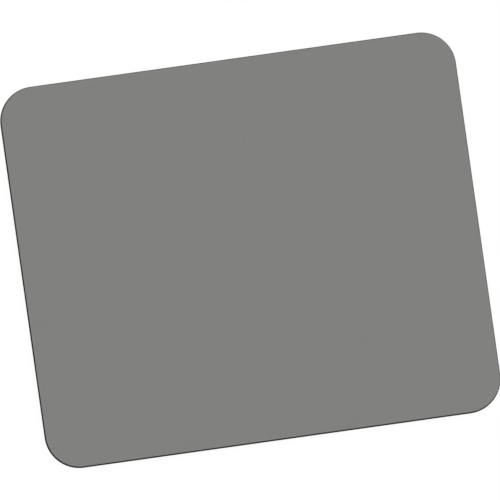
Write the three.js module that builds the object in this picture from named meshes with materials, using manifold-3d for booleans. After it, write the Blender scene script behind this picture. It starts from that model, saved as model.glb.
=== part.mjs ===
// Mouse pad: a grey knitted cover cloth, bonded by a thin hot-melt film to a slab of black sponge rubber.
// The slab's edge is die-cut, so it flares towards its foot and is dished in between, and its underside
// carries a moulded anti-slip tread of wavy grooves.
// Millimetres, +Z up. The origin is on the desk under the middle of the pad, +X points to the user's right
// and +Y away from the user.
import * as THREE from 'three';
import Module from 'manifold-3d';

// The pad's plan, measured at the foot of its edge
const PAD_WIDTH = 235;
const PAD_DEPTH = 196.5;
const CORNER_RADIUS = 17.8;

// The layers, from the desk up
const BASE_THICKNESS = 5.4;
const BOND_THICKNESS = 0.1;
const CLOTH_THICKNESS = 0.5;
const LAYER_CLEARANCE = 0.01;

// The die-cut edge: how far each feature draws in
const EDGE_FLARE = 0.55;
const EDGE_DISH = 0.25;
const FOOT_ROUNDING = 0.3;
const BOND_SETBACK = 0.05;
const CLOTH_ROUNDING = 0.2;

// The moulded tread: wavy V grooves that run from side to side
const TREAD_PITCH = 7;
const TREAD_MOUTH = 2;
const TREAD_DEPTH = 0.5;
const TREAD_MARGIN = 4;
const WAVE_LENGTH = 28;
const WAVE_RISE = 3.5;
const CUT_OVERRUN = 0.5;

// How finely curves are faceted
const CORNER_STEPS = 14;
const WALL_STEPS = 7;
const ROUNDING_STEPS = 4;

// A wave is a crest, a fall, a trough and a climb
const RUNS_PER_WAVE = 4;

const wasm = await Module();
wasm.setup();

function closedGeometry(positions, index) {
  return new THREE.BufferGeometry()
    .setAttribute('position', new THREE.Float32BufferAttribute(positions, 3))
    .setIndex(index);
}

function solidOf(geometry) {
  return new wasm.Manifold(new wasm.Mesh({
    numProp: 3,
    vertProperties: geometry.attributes.position.array,
    triVerts: new Uint32Array(geometry.index.array),
  }));
}

function geometryOf(solid) {
  const { vertProperties, triVerts } = solid.getMesh();
  return closedGeometry(vertProperties, [...triVerts]);
}

// The pad's outline, drawn in all round by an inset: points counter-clockwise, seen from above.
function outlineAt(inset) {
  const radius = CORNER_RADIUS - inset;
  const arcX = PAD_WIDTH / 2 - CORNER_RADIUS;
  const arcY = PAD_DEPTH / 2 - CORNER_RADIUS;
  const corners = [[arcX, arcY], [-arcX, arcY], [-arcX, -arcY], [arcX, -arcY]];
  return corners.flatMap(([x, y], quarter) =>
    Array.from({ length: CORNER_STEPS + 1 }, (_, step) => {
      const angle = (quarter + step / CORNER_STEPS) * Math.PI / 2;
      return new THREE.Vector2(x + radius * Math.cos(angle), y + radius * Math.sin(angle));
    }));
}

// A slab lofted through rings, each an outline's height and inset, from the lowest to the highest.
function loftedSlab(rings) {
  const outlines = rings.map(({ inset }) => outlineAt(inset));
  const count = outlines[0].length;
  const positions = outlines.flatMap((points, level) =>
    points.flatMap((point) => [point.x, point.y, rings[level].height]));
  const index = [];
  for (let level = 0; level + 1 < rings.length; level++) {
    for (let at = 0; at < count; at++) {
      const here = level * count + at;
      const next = level * count + (at + 1) % count;
      index.push(here, next, next + count, here, next + count, here + count);
    }
  }
  const highest = (rings.length - 1) * count;
  for (const [a, b, c] of THREE.ShapeUtils.triangulateShape(outlines[0], [])) {
    index.push(c, b, a);
    index.push(highest + a, highest + b, highest + c);
  }
  return closedGeometry(positions, index);
}

// The rings of a quarter round, each made from the sine and the cosine of its turn.
function quarterRound(ringAt) {
  return Array.from({ length: ROUNDING_STEPS + 1 }, (_, step) => {
    const turn = (step / ROUNDING_STEPS) * Math.PI / 2;
    return ringAt(Math.sin(turn), Math.cos(turn));
  });
}

// The sponge's cut wall, from the flat underside round the foot, and up through the dish to the bond.
function wallRings() {
  const foot = quarterRound((sine, cosine) => ({
    height: FOOT_ROUNDING * (1 - cosine),
    inset: FOOT_ROUNDING * (1 - sine),
  }));
  const wall = Array.from({ length: WALL_STEPS }, (_, step) => {
    const share = (step + 1) / WALL_STEPS;
    return {
      height: FOOT_ROUNDING + (BASE_THICKNESS - FOOT_ROUNDING) * share,
      inset: EDGE_FLARE * share + EDGE_DISH * Math.sin(Math.PI * share),
    };
  });
  return [...foot, ...wall];
}

// The cutter for one groove: a V section swept along a wave that has a crest across the pad's middle.
function grooveCutter(rowY) {
  const run = WAVE_LENGTH / RUNS_PER_WAVE;
  const reach = Math.ceil((PAD_WIDTH / 2 + CUT_OVERRUN) / run + 1 / 2);
  const halfMouth = (TREAD_MOUTH / 2) * (TREAD_DEPTH + CUT_OVERRUN) / TREAD_DEPTH;
  const positions = [];
  for (let at = -reach; at < reach; at++) {
    const x = (at + 1 / 2) * run;
    const onCrest = Math.floor((at + 1) / 2) % 2 === 0;
    const y = rowY + (onCrest ? WAVE_RISE : -WAVE_RISE) / 2;
    positions.push(x, y - halfMouth, -CUT_OVERRUN, x, y + halfMouth, -CUT_OVERRUN, x, y, TREAD_DEPTH);
  }
  const index = [];
  const last = (2 * reach - 1) * 3;
  for (let section = 0; section < last; section += 3) {
    for (let side = 0; side < 3; side++) {
      const here = section + side;
      const next = section + (side + 1) % 3;
      index.push(here, next, next + 3, here, next + 3, here + 3);
    }
  }
  index.push(0, 2, 1, last, last + 1, last + 2);
  return closedGeometry(positions, index);
}

// The rows keep a plain margin along the front and back edges, and run out through the left and right.
function treadRows() {
  const spread = PAD_DEPTH - 2 * TREAD_MARGIN - WAVE_RISE - TREAD_MOUTH;
  const gaps = Math.round(spread / TREAD_PITCH);
  return Array.from({ length: gaps + 1 }, (_, row) => (row / gaps - 1 / 2) * spread);
}

function spongeBase() {
  const slab = solidOf(loftedSlab(wallRings()));
  return geometryOf(treadRows().reduce((left, rowY) => left.subtract(solidOf(grooveCutter(rowY))), slab));
}

function bondFilm() {
  const inset = EDGE_FLARE + BOND_SETBACK;
  return loftedSlab([{ height: 0, inset }, { height: BOND_THICKNESS, inset }]);
}

// The cloth is cut in line with the top of the wall, and the die presses its upper edge round.
function clothTop() {
  const rim = quarterRound((sine, cosine) => ({
    height: CLOTH_THICKNESS - CLOTH_ROUNDING * (1 - sine),
    inset: EDGE_FLARE + CLOTH_ROUNDING * (1 - cosine),
  }));
  return loftedSlab([{ height: 0, inset: EDGE_FLARE }, ...rim]);
}

function layer(name, geometry, height, finish) {
  const mesh = new THREE.Mesh(geometry, new THREE.MeshStandardMaterial({ metalness: 0, ...finish }));
  mesh.name = name;
  mesh.position.z = height;
  return mesh;
}

const bondHeight = BASE_THICKNESS + LAYER_CLEARANCE;
const clothHeight = bondHeight + BOND_THICKNESS + LAYER_CLEARANCE;

const mousePad = new THREE.Group();
mousePad.name = 'mouse_pad';
mousePad.add(
  layer('sponge_base', spongeBase(), 0, { color: 0x323232, roughness: 0.9 }),
  layer('bond_film', bondFilm(), bondHeight, { color: 0x4a4a48, roughness: 0.35 }),
  layer('cloth_top', clothTop(), clothHeight, { color: 0x81827f, roughness: 0.95 }),
);

export default mousePad;
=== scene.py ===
import math

import bmesh
import bpy
import numpy as np
from mathutils import Matrix, Vector, noise


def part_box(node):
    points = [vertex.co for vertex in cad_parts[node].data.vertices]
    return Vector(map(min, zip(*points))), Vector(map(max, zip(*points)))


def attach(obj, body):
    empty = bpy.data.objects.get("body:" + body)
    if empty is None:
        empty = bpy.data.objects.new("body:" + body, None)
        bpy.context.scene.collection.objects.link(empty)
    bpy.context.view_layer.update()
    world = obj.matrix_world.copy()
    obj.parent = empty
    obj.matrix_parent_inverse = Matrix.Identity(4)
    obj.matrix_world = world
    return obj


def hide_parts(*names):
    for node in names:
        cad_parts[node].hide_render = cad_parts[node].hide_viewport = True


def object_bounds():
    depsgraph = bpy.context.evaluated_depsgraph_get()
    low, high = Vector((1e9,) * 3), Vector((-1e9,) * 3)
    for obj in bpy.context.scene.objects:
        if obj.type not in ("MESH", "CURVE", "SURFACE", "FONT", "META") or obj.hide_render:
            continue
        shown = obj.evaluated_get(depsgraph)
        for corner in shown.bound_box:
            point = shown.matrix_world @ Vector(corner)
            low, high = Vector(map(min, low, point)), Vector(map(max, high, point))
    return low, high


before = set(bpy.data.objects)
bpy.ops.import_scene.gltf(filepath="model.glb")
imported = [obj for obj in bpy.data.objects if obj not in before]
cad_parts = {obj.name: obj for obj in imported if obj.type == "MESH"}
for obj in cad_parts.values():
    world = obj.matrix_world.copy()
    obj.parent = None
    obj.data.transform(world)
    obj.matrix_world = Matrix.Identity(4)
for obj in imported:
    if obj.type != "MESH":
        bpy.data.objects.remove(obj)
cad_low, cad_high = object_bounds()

# A mouse pad: a grey knitted cloth, a hot-melt film and a slab of black sponge rubber, cut by one die.
# Lengths are in metres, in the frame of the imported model: +Z is up and the desk is at zero.
MM = 0.001

# The photograph: the foot's outline in its pixels, from the top left, and the turn of its left side
PHOTO_SIDE_PX = 500
PAD_WIDTH_PX = 459.9
PAD_CENTRE_PX = (250.37, 250.13)
PAD_TURN = math.radians(8.07)

# The camera: a long lens almost straight above, which leans to the left and the front alike
CAMERA_LEAN = 0.04
LENS_MM = 1600
SENSOR_MM = 36

# The layers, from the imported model
base_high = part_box("sponge_base")[1]
bond_low, bond_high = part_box("bond_film")
cloth_low, cloth_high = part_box("cloth_top")
HALF_WIDTH = base_high.x
HALF_DEPTH = base_high.y
EDGE_FLARE = base_high.x - cloth_high.x
BOND_INSET = base_high.x - bond_high.x

# The corners, the cut edge and the tread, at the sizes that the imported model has
CORNER_RADIUS = 17.8 * MM
EDGE_DISH = 0.25 * MM
FOOT_ROUNDING = 0.3 * MM
CLOTH_ROUNDING = 0.2 * MM
TREAD_PITCH = 7 * MM
TREAD_MOUTH = 2 * MM
TREAD_DEPTH = 0.5 * MM
TREAD_MARGIN = 4 * MM
WAVE_LENGTH = 28 * MM
WAVE_RISE = 3.5 * MM
CORE_X = HALF_WIDTH - CORNER_RADIUS
CORE_Y = HALF_DEPTH - CORNER_RADIUS

# The cut face of the sponge: opened cells, and the knife's slow drift
CELL_SIZE = 0.85 * MM
CELL_DEPTH = 0.3 * MM
PIT_SHARE = 0.55
KNIFE_DRIFT = 0.08 * MM
KNIFE_WANDER = 14 * MM

# The film squeezes out unevenly between the sponge and the cloth
SQUEEZE_OUT = 0.05 * MM
SQUEEZE_LENGTH = 4 * MM

# The cloth: a cut edge that wanders with its yarns, a rim that the die pressed down, and a faint ripple
CLOTH_WANDER = 0.03 * MM
CLOTH_WANDER_LENGTH = 2 * MM
RIM_WIDTH = 3 * MM
RIM_DIP = 0.05 * MM
RIPPLE_LENGTH = 9 * MM
RIPPLE_DEPTH = 0.02 * MM

# The knit: columns of V-shaped stitches, which sway a little, and the fibres of their yarn
WALE = 0.6 * MM
COURSE = 0.44 * MM
LEG_CLIMB_SHARE = 0.55
LEG_END_SHARE = 0.3
LEG_TURN = math.radians(135)
YARN_RELIEF = 0.06 * MM
SWAY = 1.1 * MM
SWAY_LENGTH = 11 * MM
FIBRE_SIZE = 0.07 * MM
FIBRE_SHARE = 0.6
DYE_PATCH = 3 * MM

# The rubber: the cells, pores and dust of its cut face, and the fine texture of its moulded skin
CELL_GRAIN = 0.5 * MM
PORE_GRAIN = 0.2 * MM
PORE_SHARE = 0.4
DUST_GRAIN = 0.07 * MM
CUT_DUST_SHARE = 0.3
CUT_RELIEF = 0.12 * MM
SKIN_GRAIN = 0.35 * MM
SKIN_DUST_SHARE = 0.2
SKIN_RELIEF = 0.02 * MM
RUBBER_CLOUD = 5 * MM

# The film: cloudy, and uneven where it was squeezed out
FILM_CLOUD = 1.2 * MM
FILM_GRAIN = 0.35 * MM
FILM_RELIEF = 0.02 * MM

# Colours, as linear light
CLOTH_COLOUR = (0.2079, 0.2112, 0.2005)
CUT_COLOUR = (0.02, 0.02, 0.0196)
SKIN_COLOUR = (0.017, 0.017, 0.0168)
FILM_COLOUR = (0.05, 0.05, 0.048)
WHITE = (1, 1, 1, 1)

# The spans that patterns run through: a whole one, soft noise, a cell and a pore from the middle to the
# wall, the summed height of the cut face, and a pebble of the skin
WHOLE_SPAN = (0, 1)
NOISE_SPAN = (0.3, 0.7)
CELL_SPAN = (0.12, 0.5)
PORE_SPAN = (0.1, 0.5)
CUT_SPAN = (0.1, 1.6)
PEBBLE_SPAN = (0, 0.8)

# What the spans lead to: lighter and darker shades of a colour, as shares of it, and roughness
# Painted shade on the knit: the gaps between its yarns darker, the yarn tops lighter
YARN_GAP_PAINTED_SHADE = (0.83, 1.3)
FIBRE_SHADES = (0.91, 1.09)
DYE_SHADES = (0.992, 1.008)
KNIT_ROUGHNESS = (0.84, 0.93)
# Painted shade on the cut face: the hollows of its cells darker, their walls lighter
CELL_PIT_PAINTED_SHADE = (0.25, 1.6)
CUT_CLOUD_SHADES = (0.85, 1.15)
CUT_ROUGHNESS = (0.98, 0.8)
PEBBLE_SHADES = (1.08, 0.92)
SKIN_CLOUD_SHADES = (0.9, 1.1)
SKIN_ROUGHNESS = (0.58, 0.72)
FILM_SHADES = (0.8, 1.25)
FILM_ROUGHNESS = (0.3, 0.5)

# The light: shares that add up to one, so that a level face shows its colour as it is written
ROOM_LIGHT = 0.45
KEY_LIGHT = 0.38
KEY_FROM = (0.5, 0.5, 1)
FILL_LIGHT = 0.17
FILL_FROM = (-0.3, -0.3, 1)
LAMP_ANGLE = math.radians(50)

# The floor: white where it is seen, with a share of its light left to the shadows
FLOOR_SIDE = 60
FLOOR_COLOUR = (0.8, 0.8, 0.8, 1)
FLOOR_GLOW = 1.03
FLOOR_GLOW_SHARE = 0.92

# How finely the meshes are drawn
ARC_STEPS = 28
TREAD_STEP = 1.25 * MM
GROOVE_LINES = 7
CLOTH_STEP = 2.4 * MM
FILM_STEP = 6 * MM
RING_STEP = 0.34 * MM
FILM_RING_STEP = 1 * MM
LEAST_GAP = 0.15 * MM
FOOT_LEVELS = 4
WALL_LEVELS = 17
ROUNDING_LEVELS = 4
RIM_LEVELS = 9
SHARP_ANGLE = math.radians(40)

# The map that patterns are laid out on
MAP_NAME = "OFBake"
MAP_GAP = 1 * MM
FAR_SIDE_SHARE = 0.045
WALL_SIDES = 4
CAP, WALL, FAR_SIDE = range(3)


def spaced(low, high, step):
    return np.linspace(low, high, round((high - low) / step) + 1)


def quarter_turn(level, levels):
    return level / levels * math.pi / 2


def ripple(flat, length):
    """Soft noise from about -1 to 1 along the plan."""
    return np.array([noise.noise(Vector((x, y, 0)) / length) for x, y in flat])


class Outline:
    """Stations round the pad: each has a point of the core rectangle and the direction away from it."""

    def __init__(self, core, turns):
        self.core = core
        self.out = np.column_stack([np.cos(turns), np.sin(turns)])

    @classmethod
    def finer(cls, loop, step):
        """Stations along a loop of points, with more in between, and how many each point gets."""
        core = np.clip(loop, (-CORE_X, -CORE_Y), (CORE_X, CORE_Y))
        away = loop - core
        turns = np.unwrap(np.arctan2(away[:, 1], away[:, 0]))
        core = np.vstack([core, core[:1]])
        turns = np.append(turns, turns[0] + 2 * math.pi)
        lengths = np.linalg.norm(np.diff(loop, axis=0, append=loop[:1]), axis=1)
        counts = np.maximum(np.ceil(lengths / step).astype(int), 1)
        at = np.concatenate([here + np.arange(count) / count for here, count in enumerate(counts)])
        whole = np.arange(len(core))
        core = np.column_stack([np.interp(at, whole, core[:, 0]), np.interp(at, whole, core[:, 1])])
        return cls(core, np.interp(at, whole, turns)), counts

    def drawn_in(self, inset):
        """Where the stations lie at an inset, which is one number or one for each."""
        return self.core + self.out * np.reshape(CORNER_RADIUS - inset, (-1, 1))


class Body:
    """A closed mesh: a cap across the pad, then ring after ring, and last a far side that closes it."""

    def __init__(self):
        self.points = []
        self.faces = []
        self.changes = []

    def add(self, flat, heights):
        """Adds points and gives their numbers."""
        first = len(self.points)
        self.points.extend(zip(*flat.T, np.broadcast_to(heights, len(flat))))
        return np.arange(first, len(self.points))

    def cap(self, inset, step, lines, height, ring_step):
        """Fills the outline with columns from front to back, crossed by lines. A line that leaves the
        outline ends on it."""
        radius = CORNER_RADIUS - inset
        arc = radius * np.sin(quarter_turn(np.arange(1, ARC_STEPS + 1), ARC_STEPS))
        xs = np.concatenate([-CORE_X - arc[::-1], spaced(-CORE_X, CORE_X, step), CORE_X + arc])
        past = np.maximum(np.abs(xs) - CORE_X, 0)
        ends = CORE_Y + np.sqrt(np.maximum(radius ** 2 - past ** 2, 0))
        grid = []
        for x, end in zip(xs, ends):
            ys = np.concatenate([[-end], lines(x), [end]])
            ys = np.where(np.abs(ys) > end - LEAST_GAP, np.copysign(end, ys), ys)
            places, numbers = np.unique(ys, return_inverse=True)
            flat = np.column_stack([np.full(len(places), x), places])
            grid.append(self.add(flat, height(flat))[numbers])
        for here, there in zip(grid, grid[1:]):
            corners = (tuple(dict.fromkeys(four)) for four in zip(here, there, there[1:], here[1:]))
            self.faces.extend(face for face in corners if len(face) > 2)
        front, back = [column[0] for column in grid], [column[-1] for column in grid]
        self.loop = list(dict.fromkeys([*front, *grid[-1], *back[::-1], *grid[0][::-1]]))
        loop = np.array([self.points[number][:2] for number in self.loop])
        self.outline, self.counts = Outline.finer(loop, ring_step)

    def ring(self, inset, heights):
        """Adds a ring at an inset and joins it to the loop before."""
        ring = list(self.add(self.outline.drawn_in(inset), heights))
        if len(ring) == len(self.loop):
            self.faces.extend(zip(self.loop, np.roll(self.loop, -1), np.roll(ring, -1), ring))
        else:
            self.fan(ring)
        self.loop = ring

    def fan(self, ring):
        """Triangles between the cap's loop and the first ring, which has more points."""
        ring = ring + ring[:1]
        first = 0
        for here, there, count in zip(self.loop, np.roll(self.loop, -1), self.counts):
            steps = ring[first:first + count + 1]
            middle = count // 2
            self.faces.append((here, there, steps[middle]))
            self.faces.extend((here, a, b) for a, b in zip(steps[:middle], steps[1:middle + 1]))
            self.faces.extend((there, a, b) for a, b in zip(steps[middle:], steps[middle + 1:]))
            first += count

    def change(self):
        """The faces from here on are the next part: first the cap, then the wall, then the far side."""
        self.changes.append(len(self.faces))

    def close(self):
        self.change()
        self.faces.append(self.loop)

    def piece(self, name, materials, node):
        """The finished piece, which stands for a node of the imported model. Parts without a material of
        their own wear the last."""
        mesh = bpy.data.meshes.new(name)
        mesh.from_pydata(self.points, [], self.faces)
        shell = bmesh.new()
        shell.from_mesh(mesh)
        bmesh.ops.recalc_face_normals(shell, faces=shell.faces)
        shell.to_mesh(mesh)
        shell.free()
        parts = np.searchsorted(self.changes, np.arange(len(self.faces)), side="right")
        for material in materials:
            mesh.materials.append(material)
        mesh.polygons.foreach_set("material_index", np.minimum(parts, len(materials) - 1))
        lay_out_map(mesh, parts)
        mesh.shade_smooth()
        mesh.set_sharp_from_angle(angle=SHARP_ANGLE)
        made = bpy.data.objects.new(name, mesh)
        bpy.context.scene.collection.objects.link(made)
        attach(made, "root")
        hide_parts(node)
        return made


def read(items, name, kind, width):
    """What each item has under a name, one row an item."""
    values = np.empty(len(items) * width, kind)
    items.foreach_get(name, values)
    return values.reshape(-1, width)


def lay_out_map(mesh, parts):
    """Lays the mesh out at one scale: the cap, above it the wall's four sides, each a strip, and above
    them the far side, pressed into a strip because it is hidden."""
    corners = read(mesh.polygons, "loop_total", int, 1).ravel()
    x, y, z = read(mesh.vertices, "co", float, 3)[read(mesh.loops, "vertex_index", int, 1).ravel()].T
    middle_x, middle_y, _ = np.repeat(read(mesh.polygons, "center", float, 3), corners, axis=0).T
    at_end = np.abs(middle_x) - HALF_WIDTH > np.abs(middle_y) - HALF_DEPTH
    side = np.where(at_end, 2 + (middle_x > 0), middle_y > 0)
    part = np.repeat(parts, corners)
    along = np.where((part == WALL) & at_end, y, x)
    strip = cad_high.z + MAP_GAP
    walls_from = 2 * HALF_DEPTH + MAP_GAP
    far_from = walls_from + WALL_SIDES * strip
    heights = {
        CAP: y + HALF_DEPTH,
        WALL: walls_from + side * strip + z,
        FAR_SIDE: far_from + (y + HALF_DEPTH) * FAR_SIDE_SHARE,
    }
    up = np.select([part == kind for kind in heights], list(heights.values()))
    spots = np.column_stack([along + HALF_WIDTH, up]) + MAP_GAP
    layer = mesh.uv_layers.new(name=MAP_NAME)
    layer.uv.foreach_set("vector", (spots / (2 * (HALF_WIDTH + MAP_GAP))).ravel())


def tread_rows():
    """The middle lines of the grooves, from front to back."""
    half = HALF_DEPTH - TREAD_MARGIN - (WAVE_RISE + TREAD_MOUTH) / 2
    return spaced(-half, half, TREAD_PITCH)


def wave(x):
    """How far the grooves swing to the back of their middle lines. The wave passes through the bends of
    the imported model's straight runs, which lie an eighth of a wave from its crests and troughs."""
    return WAVE_RISE / math.sqrt(2) * np.cos(2 * math.pi * x / WAVE_LENGTH)


def tread_lines(x):
    """Where the lines that draw the grooves cross a column."""
    across = np.linspace(-TREAD_MOUTH / 2, TREAD_MOUTH / 2, GROOVE_LINES)
    return (tread_rows()[:, None] + across).ravel() + wave(x)


def groove_height(flat):
    """How high the underside lies above the desk."""
    middle = flat[:, 1] - wave(flat[:, 0])
    nearest = np.abs(middle[:, None] - tread_rows()).min(axis=1)
    return TREAD_DEPTH * (1 + np.cos(math.pi * np.minimum(nearest / (TREAD_MOUTH / 2), 1))) / 2


def wall_relief(flat, height, share):
    """How far the cut face lies behind its smooth dished shape, at a share of the way up."""
    relief = []
    for x, y in flat:
        place = Vector((x, y, height))
        distances, centres = noise.voronoi(place / CELL_SIZE)
        opened = (1 + noise.cell(centres[0])) / 2
        pit = CELL_DEPTH * opened * max(0, 1 - (distances[0] / PIT_SHARE) ** 2)
        drift = KNIFE_DRIFT * (1 + noise.noise(place / KNIFE_WANDER)) / 2
        relief.append(pit + drift)
    return np.array(relief) * math.sqrt(math.sin(math.pi * share))


def sponge_slab():
    """The slab: a wavy tread underneath, a foot pressed round, and a dished, open-celled cut face."""
    body = Body()
    body.cap(FOOT_ROUNDING, TREAD_STEP, tread_lines, groove_height, RING_STEP)
    top = base_high.z
    notch = groove_height(body.outline.drawn_in(FOOT_ROUNDING))

    def over_notch(height):
        return notch + height * (1 - notch / top)

    for level in range(1, FOOT_LEVELS + 1):
        turn = quarter_turn(level, FOOT_LEVELS)
        inset = FOOT_ROUNDING * (1 - math.sin(turn))
        body.ring(inset, over_notch(FOOT_ROUNDING * (1 - math.cos(turn))))
        if level == FOOT_LEVELS // 2:
            body.change()
    for level in range(1, WALL_LEVELS + 1):
        share = level / WALL_LEVELS
        height = FOOT_ROUNDING + (top - FOOT_ROUNDING) * share
        inset = EDGE_FLARE * share + EDGE_DISH * math.sin(math.pi * share)
        relief = wall_relief(body.outline.drawn_in(inset), height, share)
        body.ring(inset + relief, over_notch(height))
    body.close()
    return body.piece("sponge_slab", [skin_finish(), cut_finish()], "sponge_base")


def bond_line():
    """The film, whose edge bulges a little between the sponge and the cloth."""
    body = Body()
    lines = spaced(-HALF_DEPTH, HALF_DEPTH, FILM_STEP)
    body.cap(BOND_INSET, FILM_STEP, lambda x: lines, lambda flat: bond_low.z, FILM_RING_STEP)
    body.change()
    squeeze = SQUEEZE_OUT * (1 + ripple(body.outline.drawn_in(BOND_INSET), SQUEEZE_LENGTH)) / 2
    body.ring(BOND_INSET - squeeze, (bond_low.z + bond_high.z) / 2)
    body.ring(BOND_INSET, bond_high.z)
    body.close()
    return body.piece("bond_line", [film_finish()], "bond_film")


def cloth_height(flat):
    """The cloth's face dips by a few hundredths of a millimetre where the sponge under it gives."""
    return cloth_high.z - RIPPLE_DEPTH * (1 - ripple(flat, RIPPLE_LENGTH)) / 2


def cover_cloth():
    """The cloth: its face, a rim that falls towards the edge, a rounded shoulder, and the cut edge."""
    body = Body()
    lines = spaced(-HALF_DEPTH, HALF_DEPTH, CLOTH_STEP)
    shoulder_inset = EDGE_FLARE + CLOTH_ROUNDING
    body.cap(shoulder_inset + RIM_WIDTH, CLOTH_STEP, lambda x: lines, cloth_height, RING_STEP)
    wander = CLOTH_WANDER * ripple(body.outline.drawn_in(EDGE_FLARE), CLOTH_WANDER_LENGTH)
    wander -= wander.min()
    for level in range(1, RIM_LEVELS + 1):
        share = 1 - level / RIM_LEVELS
        inset = shoulder_inset + RIM_WIDTH * share + wander * (1 - share)
        face = cloth_height(body.outline.drawn_in(inset))
        body.ring(inset, face - RIM_DIP * (1 - share) ** 2)
    shoulder = face - RIM_DIP - CLOTH_ROUNDING
    for level in range(1, ROUNDING_LEVELS + 1):
        turn = quarter_turn(level, ROUNDING_LEVELS)
        inset = EDGE_FLARE + CLOTH_ROUNDING * (1 - math.sin(turn))
        body.ring(inset + wander, shoulder + CLOTH_ROUNDING * math.cos(turn))
        if level == ROUNDING_LEVELS // 2:
            body.change()
    body.ring(EDGE_FLARE + wander, cloth_low.z)
    body.close()
    return body.piece("cover_cloth", [knit_finish()], "cloth_top")


class Graph:
    """Short ways to put shader nodes into a tree."""

    def __init__(self, tree):
        self.nodes = tree.nodes
        self.links = tree.links

    def feed(self, socket, value):
        """Links an output to the socket, or sets a number or colour on it."""
        if isinstance(value, bpy.types.NodeSocket):
            self.links.new(value, socket)
        else:
            socket.default_value = value

    def add(self, kind, *inputs, **named):
        """A node. Its inputs come in order or by name, with _ for a space, and its settings by name."""
        node = self.nodes.new("ShaderNode" + kind)
        for socket, value in zip(node.inputs, inputs):
            self.feed(socket, value)
        for name, value in named.items():
            if hasattr(node, name):
                setattr(node, name, value)
            else:
                self.feed(node.inputs[name.replace("_", " ")], value)
        return node

    def math(self, operation, *inputs):
        return self.add("Math", *inputs, operation=operation).outputs[0]

    def seen(self):
        """One where a ray comes from the camera or by way of gloss or glass, and zero elsewhere."""
        path = self.add("LightPath").outputs
        either = self.math("MAXIMUM", path["Is Camera Ray"], path["Is Glossy Ray"])
        return self.math("MAXIMUM", either, path["Is Transmission Ray"])


class Finish(Graph):
    """A material on a Principled shader, with patterns at real sizes."""

    def __init__(self, name, **constants):
        self.material = bpy.data.materials.new(name)
        self.material.use_nodes = True
        super().__init__(self.material.node_tree)
        self.shader = self.nodes["Principled BSDF"]
        self.place = self.add("TexCoord").outputs["Object"]
        self.drive(**constants)

    def grain(self, size, detail=2.0, roughness=0.5):
        """Soft noise from 0 to 1."""
        return self.add(
            "TexNoise", Vector=self.place, Scale=1 / size, Detail=detail, Roughness=roughness
        ).outputs["Fac"]

    def cells(self, size):
        """How far a point lies from the middle of its cell, in cells."""
        return self.add("TexVoronoi", Vector=self.place, Scale=1 / size).outputs["Distance"]

    def hump(self, value):
        """Zero at each whole number and one half way between."""
        turned = self.math("COSINE", self.math("MULTIPLY", value, 2 * math.pi))
        return self.math("MULTIPLY_ADD", turned, -1 / 2, 1 / 2)

    def between(self, value, span, led_to):
        """The value, led from the two ends of its span to two others."""
        return self.add("MapRange", value, *span, *led_to).outputs[0]

    def tinted(self, colour, *shades):
        """A colour, made lighter or darker by shades about one."""
        shade = shades[0]
        for other in shades[1:]:
            shade = self.math("MULTIPLY", shade, other)
        return self.add("VectorMath", colour, operation="SCALE", Scale=shade).outputs[0]

    def bump(self, height, distance):
        return self.add("Bump", Height=height, Distance=distance).outputs[0]

    def drive(self, **inputs):
        for name, value in inputs.items():
            self.feed(self.shader.inputs[name.replace("_", " ")], value)
        return self.material


def knit_finish():
    """Close-knitted polyester: columns of V-shaped stitches, fibrous yarn and a slightly uneven dye."""
    finish = Finish("knit_cloth", Specular_IOR_Level=0.2, Sheen_Weight=0.12, Sheen_Roughness=0.5)
    drift = finish.add("TexNoise", Vector=finish.place, Scale=1 / SWAY_LENGTH, Detail=1.0)
    sway = finish.add("VectorMath", drift.outputs["Color"], operation="SCALE", Scale=SWAY).outputs[0]
    swayed = finish.add("VectorMath", finish.place, sway, operation="ADD").outputs[0]
    x, y, _ = finish.add("SeparateXYZ", swayed).outputs
    # A column is two mirrored legs, and across runs from zero at its sides to one in its middle
    across = finish.math("PINGPONG", finish.math("DIVIDE", x, WALE / 2), 1.0)
    climb = finish.math("MULTIPLY_ADD", across, -LEG_CLIMB_SHARE, finish.math("DIVIDE", y, COURSE))
    leg = finish.math("SINE", finish.math("MULTIPLY", across, LEG_TURN))
    rise = finish.between(finish.hump(climb), WHOLE_SPAN, (LEG_END_SHARE, 1))
    yarn = finish.math("MULTIPLY", leg, rise)
    fibre = finish.grain(FIBRE_SIZE, detail=3.0)
    height = finish.math("MULTIPLY_ADD", fibre, FIBRE_SHARE, yarn)
    dye = finish.grain(DYE_PATCH, detail=4.0, roughness=0.6)
    # Painted shade: the gaps between the yarns are darker and the yarn tops lighter; fibres and dye vary
    # the tone at random
    colour = finish.tinted(
        CLOTH_COLOUR,
        finish.between(yarn, WHOLE_SPAN, YARN_GAP_PAINTED_SHADE),
        finish.between(fibre, NOISE_SPAN, FIBRE_SHADES),
        finish.between(dye, NOISE_SPAN, DYE_SHADES),
    )
    rough = finish.between(dye, NOISE_SPAN, KNIT_ROUGHNESS)
    return finish.drive(Base_Color=colour, Roughness=rough, Normal=finish.bump(height, YARN_RELIEF))


def cut_finish():
    """Cut sponge: matt, with cells of all sizes down to fine dust, and painted shade that makes each
    cell darker inside than at its walls.
    """
    finish = Finish("sponge_cut", Specular_IOR_Level=0.03)
    cells = finish.between(finish.cells(CELL_GRAIN), CELL_SPAN, (0, 1))
    pores = finish.between(finish.cells(PORE_GRAIN), PORE_SPAN, (0, PORE_SHARE))
    open_cells = finish.math("ADD", cells, pores)
    height = finish.math("MULTIPLY_ADD", finish.grain(DUST_GRAIN), CUT_DUST_SHARE, open_cells)
    cloud = finish.grain(RUBBER_CLOUD, detail=3.0)
    # Painted shade: each cell is darker in its hollow than at its walls; the cloud varies the tone at
    # random
    colour = finish.tinted(
        CUT_COLOUR,
        finish.between(height, CUT_SPAN, CELL_PIT_PAINTED_SHADE),
        finish.between(cloud, NOISE_SPAN, CUT_CLOUD_SHADES),
    )
    rough = finish.between(height, CUT_SPAN, CUT_ROUGHNESS)
    return finish.drive(Base_Color=colour, Roughness=rough, Normal=finish.bump(height, CUT_RELIEF))


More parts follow.
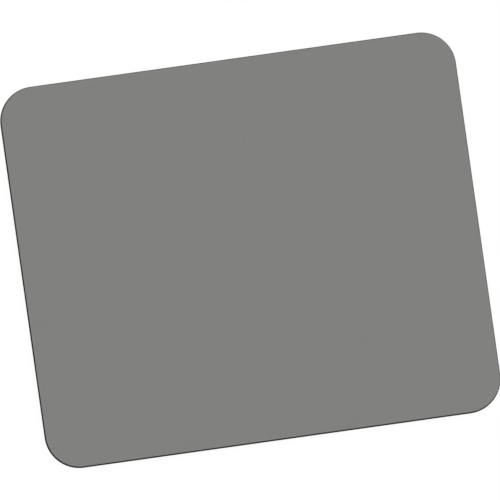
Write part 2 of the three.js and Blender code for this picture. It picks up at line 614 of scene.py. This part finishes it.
def skin_finish():
    """Moulded rubber skin: smoother and darker than the cut sponge, with a fine pebbled texture."""
    finish = Finish("sponge_skin", Specular_IOR_Level=0.4)
    pebble = finish.cells(SKIN_GRAIN)
    height = finish.math("MULTIPLY_ADD", finish.grain(DUST_GRAIN), SKIN_DUST_SHARE, pebble)
    cloud = finish.grain(RUBBER_CLOUD, detail=3.0)
    colour = finish.tinted(
        SKIN_COLOUR,
        finish.between(pebble, PEBBLE_SPAN, PEBBLE_SHADES),
        finish.between(cloud, NOISE_SPAN, SKIN_CLOUD_SHADES),
    )
    rough = finish.between(cloud, NOISE_SPAN, SKIN_ROUGHNESS)
    return finish.drive(Base_Color=colour, Roughness=rough, Normal=finish.bump(height, SKIN_RELIEF))


def film_finish():
    """Hot-melt film: a thin, slightly glossy line, cloudy where it has soaked into the cloth."""
    finish = Finish("melt_film", Specular_IOR_Level=0.45)
    cloud = finish.grain(FILM_CLOUD, detail=3.0)
    colour = finish.tinted(FILM_COLOUR, finish.between(cloud, NOISE_SPAN, FILM_SHADES))
    rough = finish.between(cloud, NOISE_SPAN, FILM_ROUGHNESS)
    uneven = finish.bump(finish.grain(FILM_GRAIN), FILM_RELIEF)
    return finish.drive(Base_Color=colour, Roughness=rough, Normal=uneven)


def studio_floor():
    """A white floor that keeps the pad's soft shadow."""
    bpy.ops.mesh.primitive_plane_add(size=FLOOR_SIDE)
    floor = bpy.context.object
    floor.name = "floor"
    finish = Finish("floor_white", Base_Color=FLOOR_COLOUR, Roughness=1.0, Specular_IOR_Level=0.0)
    glow = finish.add("Emission", WHITE, FLOOR_GLOW).outputs[0]
    share = finish.math("MULTIPLY", finish.seen(), FLOOR_GLOW_SHARE)
    mixed = finish.add("MixShader", share, finish.shader.outputs[0], glow).outputs[0]
    finish.feed(finish.nodes["Material Output"].inputs["Surface"], mixed)
    floor.data.materials.append(finish.material)


def room_light():
    """A room that lights the pad evenly and is white where it is seen."""
    world = bpy.data.worlds.new("studio")
    bpy.context.scene.world = world
    world.use_nodes = True
    graph = Graph(world.node_tree)
    strength = graph.add("MapRange", graph.seen(), To_Min=ROOM_LIGHT).outputs[0]
    background = graph.nodes["Background"].inputs
    graph.feed(background["Color"], WHITE)
    graph.feed(background["Strength"], strength)


def soft_lamp(name, came_from, share):
    """A wide lamp that gives a level face a share of its light."""
    towards = Vector(came_from).normalized()
    lamp = bpy.data.lights.new(name, "SUN")
    lamp.angle = LAMP_ANGLE
    lamp.energy = share * math.pi / towards.z
    made = bpy.data.objects.new(name, lamp)
    made.rotation_mode = "QUATERNION"
    made.rotation_quaternion = towards.to_track_quat("Z", "Y")
    bpy.context.scene.collection.objects.link(made)


def photo_camera():
    """A camera that sees the foot's outline at the photograph's size, place and turn."""
    back = Vector((-CAMERA_LEAN, -CAMERA_LEAN, 1)).normalized()
    right = Vector((math.sin(PAD_TURN), math.cos(PAD_TURN), 0)).cross(back).normalized()
    up = back.cross(right)
    seen_width = 2 * HALF_WIDTH * math.sqrt(1 - back.x ** 2)
    pixel = seen_width / PAD_WIDTH_PX
    off_x, off_y = (pixel * (place - PHOTO_SIDE_PX / 2) for place in PAD_CENTRE_PX)
    aim = Vector((0, 0, FOOT_ROUNDING)) - right * off_x + up * off_y
    distance = PHOTO_SIDE_PX * pixel * LENS_MM / SENSOR_MM
    data = bpy.data.cameras.new("camera")
    data.lens = LENS_MM
    data.sensor_width = SENSOR_MM
    data.clip_end = 2 * distance
    camera = bpy.data.objects.new("camera", data)
    turned = Matrix((right, up, back)).transposed().to_4x4()
    camera.matrix_world = Matrix.Translation(aim + back * distance) @ turned
    bpy.context.scene.collection.objects.link(camera)
    bpy.context.scene.camera = camera


bpy.context.scene.view_settings.view_transform = "Standard"
photo_camera()
room_light()
soft_lamp("key", KEY_FROM, KEY_LIGHT)
soft_lamp("fill", FILL_FROM, FILL_LIGHT)
studio_floor()

slab = sponge_slab()
bond_line()
cloth = cover_cloth()
